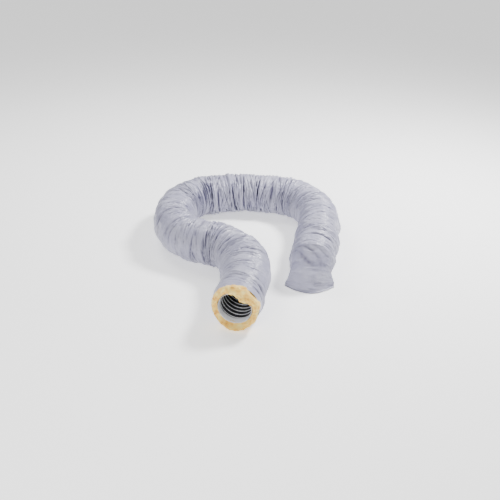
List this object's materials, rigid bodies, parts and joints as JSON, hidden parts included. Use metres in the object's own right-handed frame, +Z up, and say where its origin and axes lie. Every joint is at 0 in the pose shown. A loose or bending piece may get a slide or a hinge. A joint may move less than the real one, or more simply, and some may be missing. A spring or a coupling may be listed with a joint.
{
  "type": "flexible air duct",
  "caption": "Insulated flexible air duct laid in an open loop: wire-coil core, glass-wool blanket, pale film jacket, one open mouth and one skirted tail.",
  "frame": {"origin": "middle of the footprint of the duct as it lies, on the surface that it lies on", "axes": "+Z up, the open mouth faces -Y, the closed side of the loop is at +Y"},
  "size_m": [0.9954, 1.2997, 0.216],
  "materials": {
    "core_film": "dark polyester film over a wire coil, soft sheen",
    "spring_wire": "drawn spring steel wire",
    "glass_wool": "yellow glass wool, fluffy cut face",
    "jacket_film": "thin pale grey polyethylene film, wrinkled, soft sheen"
  },
  "bodies": {
    "mouth_end": {"core_inner_film_mouth_end": "core_film", "spring_wire_mouth_end": "spring_wire", "core_outer_film_mouth_end": "core_film", "glass_wool_blanket_mouth_end": "glass_wool", "vapour_jacket_mouth_end": "jacket_film"},
    "front_reach": {"core_inner_film_front_reach": "core_film", "spring_wire_front_reach": "spring_wire", "core_outer_film_front_reach": "core_film", "glass_wool_blanket_front_reach": "glass_wool", "vapour_jacket_front_reach": "jacket_film"},
    "front_bend": {"core_inner_film_front_bend": "core_film", "spring_wire_front_bend": "spring_wire", "core_outer_film_front_bend": "core_film", "glass_wool_blanket_front_bend": "glass_wool", "vapour_jacket_front_bend": "jacket_film"},
    "left_bend": {"core_inner_film_left_bend": "core_film", "spring_wire_left_bend": "spring_wire", "core_outer_film_left_bend": "core_film", "glass_wool_blanket_left_bend": "glass_wool", "vapour_jacket_left_bend": "jacket_film"},
    "back_run": {"core_inner_film_back_run": "core_film", "spring_wire_back_run": "spring_wire", "core_outer_film_back_run": "core_film", "glass_wool_blanket_back_run": "glass_wool", "vapour_jacket_back_run": "jacket_film"},
    "back_right": {"core_inner_film_back_right": "core_film", "spring_wire_back_right": "spring_wire", "core_outer_film_back_right": "core_film", "glass_wool_blanket_back_right": "glass_wool", "vapour_jacket_back_right": "jacket_film"},
    "right_bend": {"core_inner_film_right_bend": "core_film", "spring_wire_right_bend": "spring_wire", "core_outer_film_right_bend": "core_film", "glass_wool_blanket_right_bend": "glass_wool", "vapour_jacket_right_bend": "jacket_film"},
    "right_reach": {"core_inner_film_right_reach": "core_film", "spring_wire_right_reach": "spring_wire", "core_outer_film_right_reach": "core_film", "glass_wool_blanket_right_reach": "glass_wool", "vapour_jacket_right_reach": "jacket_film"},
    "tail_end": {"core_inner_film_tail_end": "core_film", "spring_wire_tail_end": "spring_wire", "core_outer_film_tail_end": "core_film", "glass_wool_blanket_tail_end": "glass_wool", "vapour_jacket_tail_end": "jacket_film"}
  },
  "joints": [
    {"name": "mouth_lift", "type": "hinge", "parent": "front_reach", "child": "mouth_end", "pos_m": [0.007, -0.3604, 0.108], "axis": [-0.9994, 0.0341, 0], "range_deg": [0, 25]},
    {"name": "front_yaw", "type": "hinge", "parent": "front_bend", "child": "front_reach", "pos_m": [-0.0624, -0.1275, 0.108], "axis": [0, 0, 1], "range_deg": [-12, 14]},
    {"name": "left_front_yaw", "type": "hinge", "parent": "left_bend", "child": "front_bend", "pos_m": [-0.3084, 0.0198, 0.108], "axis": [0, 0, 1], "range_deg": [-12, 7]},
    {"name": "left_back_yaw", "type": "hinge", "parent": "back_run", "child": "left_bend", "pos_m": [-0.3834, 0.2989, 0.108], "axis": [0, 0, 1], "range_deg": [-12, 5]},
    {"name": "back_stretch", "type": "slide", "parent": "back_run", "child": "back_right", "axis": [0.9885, 0.151, 0], "range_m": [0, 0.06]},
    {"name": "right_back_yaw", "type": "hinge", "parent": "back_right", "child": "right_bend", "pos_m": [0.2302, 0.4989, 0.108], "axis": [0, 0, 1], "range_deg": [-4, 12]},
    {"name": "right_front_yaw", "type": "hinge", "parent": "right_bend", "child": "right_reach", "pos_m": [0.3867, 0.2812, 0.108], "axis": [0, 0, 1], "range_deg": [-6, 12]},
    {"name": "tail_lift", "type": "hinge", "parent": "right_reach", "child": "tail_end", "pos_m": [0.3678, -0.007, 0.108], "axis": [-0.9868, 0.1622, 0], "range_deg": [0, 25]}
  ]
}
